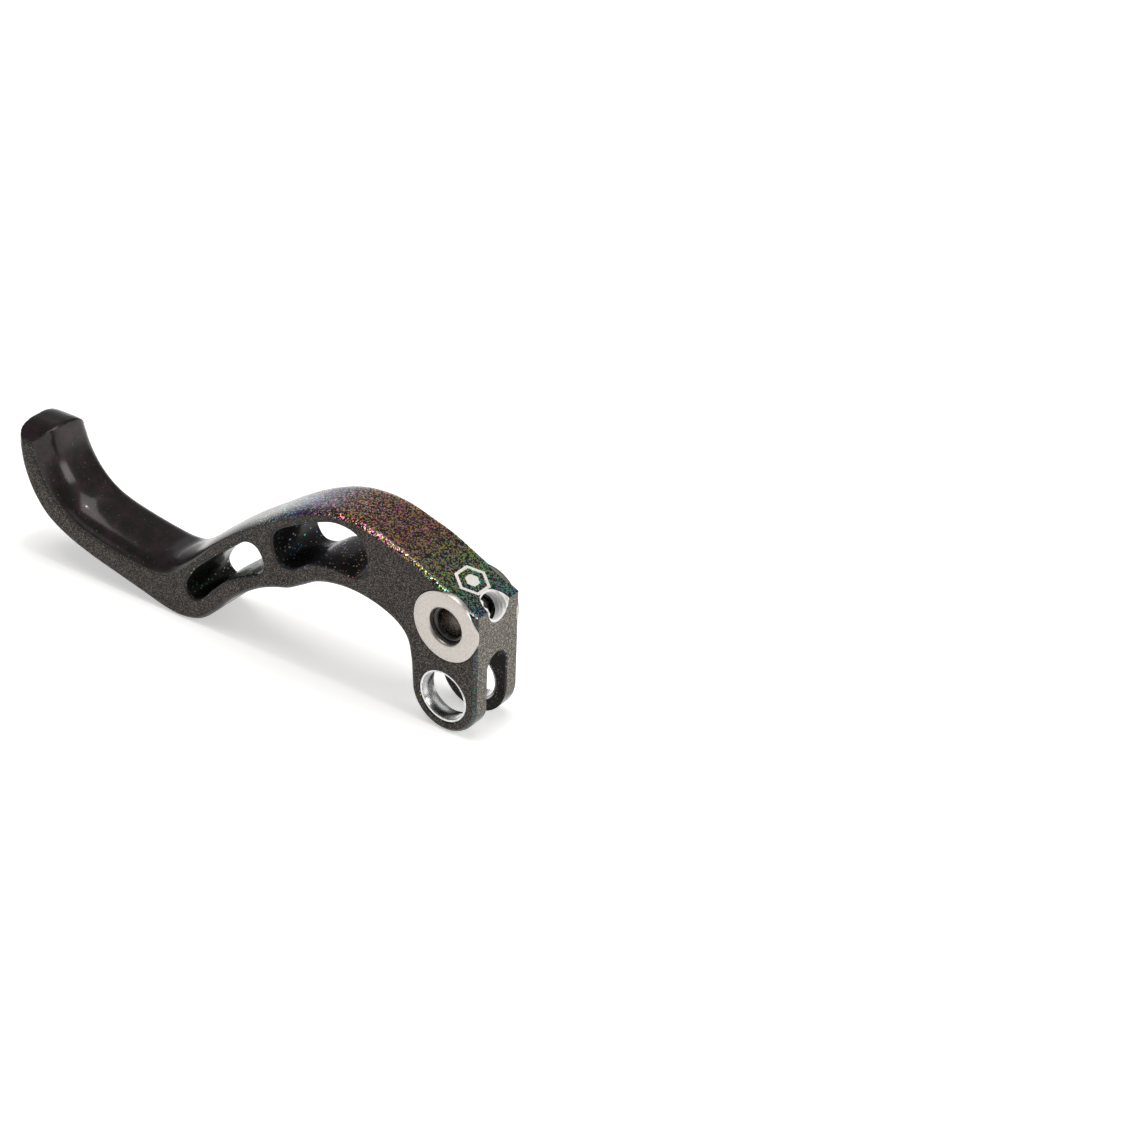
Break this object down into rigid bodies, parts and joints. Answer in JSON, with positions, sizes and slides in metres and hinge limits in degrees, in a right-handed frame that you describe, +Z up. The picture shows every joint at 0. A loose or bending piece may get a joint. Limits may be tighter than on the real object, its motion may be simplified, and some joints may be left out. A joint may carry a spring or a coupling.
{
  "type": "bicycle brake lever blade",
  "caption": "One-finger blade of a hydraulic bicycle disc brake, with a bushed pivot, a fork for the push rod and a scooped finger pad.",
  "frame": {"origin": "on the surface the lever stands on, under the middle of its box", "axes": "+X from the finger tip towards the clevis, Y along the pivot axis, +Z up to the finger side"},
  "size_m": [0.0958, 0.0108, 0.0312],
  "materials": {
    "flake_paint": "charcoal paint with fine rainbow metal flake under gloss clear coat",
    "bare_metal": "bare, finely turned face",
    "bright_liner": "bare, reamed bore",
    "insert_steel": "bright thread",
    "dark_steel": "dark oiled steel",
    "seal_rubber": "smooth black rubber, slightly greased"
  },
  "bodies": {
    "blade": {"lever_blade": "flake_paint", "pivot_bush_near": "bare_metal", "pivot_bush_far": "bare_metal", "pivot_seal_near": "seal_rubber", "pivot_seal_far": "seal_rubber", "ear_liner_near": "bright_liner", "ear_liner_far": "bright_liner", "thread_insert": "insert_steel"},
    "sleeve": {"pivot_sleeve": "dark_steel"}
  },
  "joints": [
    {"name": "sleeve_turn", "type": "hinge", "parent": "blade", "child": "sleeve", "pos_m": [0.04187, 0, 0.01896], "axis": [0, 1, 0], "continuous": true}
  ]
}
